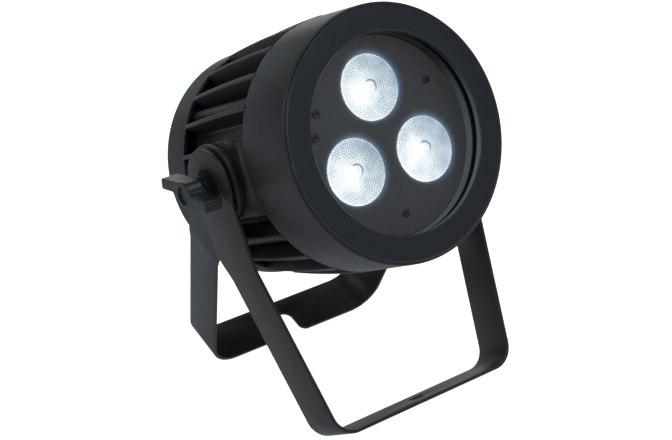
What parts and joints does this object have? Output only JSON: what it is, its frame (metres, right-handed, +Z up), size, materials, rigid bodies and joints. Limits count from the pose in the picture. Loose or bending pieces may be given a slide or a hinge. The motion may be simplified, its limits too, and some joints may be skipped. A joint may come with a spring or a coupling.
{
  "type": "par can light",
  "caption": "Black par can stage light: finned round head with lensed lamps behind glass, on two pivoting flat-strap brackets with winged clamping knobs.",
  "frame": {"origin": "on the floor the two bracket bars stand on, under the middle of the whole light", "axes": "+X along the tilt axis, -Y the way the lamp looks when it is level, +Z up"},
  "size_m": [0.2294, 0.2266, 0.274],
  "materials": {
    "black_paint": "satin powder coat",
    "cast_black": "cast aluminium under black powder coat, fine-textured on the bezel",
    "steel": "zinc-plated, satin",
    "screw_steel": "dark plated",
    "seal_rubber": "matte",
    "clear_glass": "clear, polished",
    "black_plastic": "fine matte grain",
    "lens_plastic": "clear moulded optic with a micro-lens face",
    "emitter": "phosphor and clear resin",
    "white_board": "white solder mask on aluminium",
    "pad": "soft grey",
    "plug_plastic": "natural nylon",
    "brass": "machined",
    "green_board": "solder mask",
    "display": "dark segments",
    "red_window": "tinted, polished",
    "wire_red": "satin insulation",
    "wire_black": "satin insulation",
    "button_rubber": "moulded, satin"
  },
  "bodies": {
    "base": {"front_bracket": "black_paint", "lock_washers": "steel"},
    "rear_bracket": {"rear_bracket": "black_paint"},
    "head": {"bezel_ring": "cast_black", "bezel_screws": "screw_steel", "front_gasket": "seal_rubber", "front_glass": "clear_glass", "glass_seal": "seal_rubber", "front_housing": "cast_black", "lens_panel": "black_plastic", "panel_screws": "screw_steel", "panel_standoffs": "brass", "lens_top": "lens_plastic", "lens_left": "lens_plastic", "lens_right": "lens_plastic", "lens_holders": "black_plastic", "led_emitters": "emitter", "led_board": "white_board", "board_screws": "screw_steel", "thermal_pad": "pad", "led_plug": "plug_plastic", "heat_sink": "cast_black", "housing_seal": "seal_rubber", "housing_screws": "screw_steel", "pivot_inserts": "brass", "friction_discs": "seal_rubber", "pressure_washers": "steel", "spacer_washers": "black_plastic", "rear_cover": "cast_black", "rear_seal": "seal_rubber", "cover_screws": "screw_steel", "lower_pillars": "brass", "driver_board": "green_board", "upper_pillars": "brass", "power_supply": "green_board", "pillar_screws": "screw_steel", "control_board": "green_board", "control_screws": "screw_steel", "button_switches": "black_plastic", "display_module": "display", "display_window": "red_window", "power_sockets": "black_plastic", "signal_sockets": "black_plastic", "pressure_vent": "black_plastic", "safety_eye": "steel", "eye_nut": "steel", "led_cable": "wire_red", "supply_cables": "wire_black"},
    "knob_left": {"knob_left": "black_plastic", "stud_left": "steel"},
    "knob_right": {"knob_right": "black_plastic", "stud_right": "steel"},
    "button_menu": {"button_menu": "button_rubber"},
    "button_down": {"button_down": "button_rubber"},
    "button_up": {"button_up": "button_rubber"},
    "button_enter": {"button_enter": "button_rubber"}
  },
  "joints": [
    {"name": "head_tilt", "type": "hinge", "parent": "base", "child": "head", "pos_m": [0, -0.00428, 0.16528], "axis": [-1, 0, 0], "range_deg": [-113, 156]},
    {"name": "rear_swing", "type": "hinge", "parent": "base", "child": "rear_bracket", "pos_m": [0, -0.00428, 0.16528], "axis": [-1, 0, 0], "range_deg": [-127, 52]},
    {"name": "knob_left_turn", "type": "hinge", "parent": "head", "child": "knob_left", "pos_m": [-0.105, -0.00428, 0.16528], "axis": [-1, 0, 0], "continuous": true},
    {"name": "knob_right_turn", "type": "hinge", "parent": "head", "child": "knob_right", "pos_m": [0.105, -0.00428, 0.16528], "axis": [1, 0, 0], "continuous": true},
    {"name": "menu_press", "type": "slide", "parent": "head", "child": "button_menu", "axis": [0, -0.9171, 0.3987], "range_m": [0, 0.0012], "stiffness_N_per_m": 800},
    {"name": "down_press", "type": "slide", "parent": "head", "child": "button_down", "axis": [0, -0.9171, 0.3987], "range_m": [0, 0.0012], "stiffness_N_per_m": 800},
    {"name": "up_press", "type": "slide", "parent": "head", "child": "button_up", "axis": [0, -0.9171, 0.3987], "range_m": [0, 0.0012], "stiffness_N_per_m": 800},
    {"name": "enter_press", "type": "slide", "parent": "head", "child": "button_enter", "axis": [0, -0.9171, 0.3987], "range_m": [0, 0.0012], "stiffness_N_per_m": 800}
  ]
}
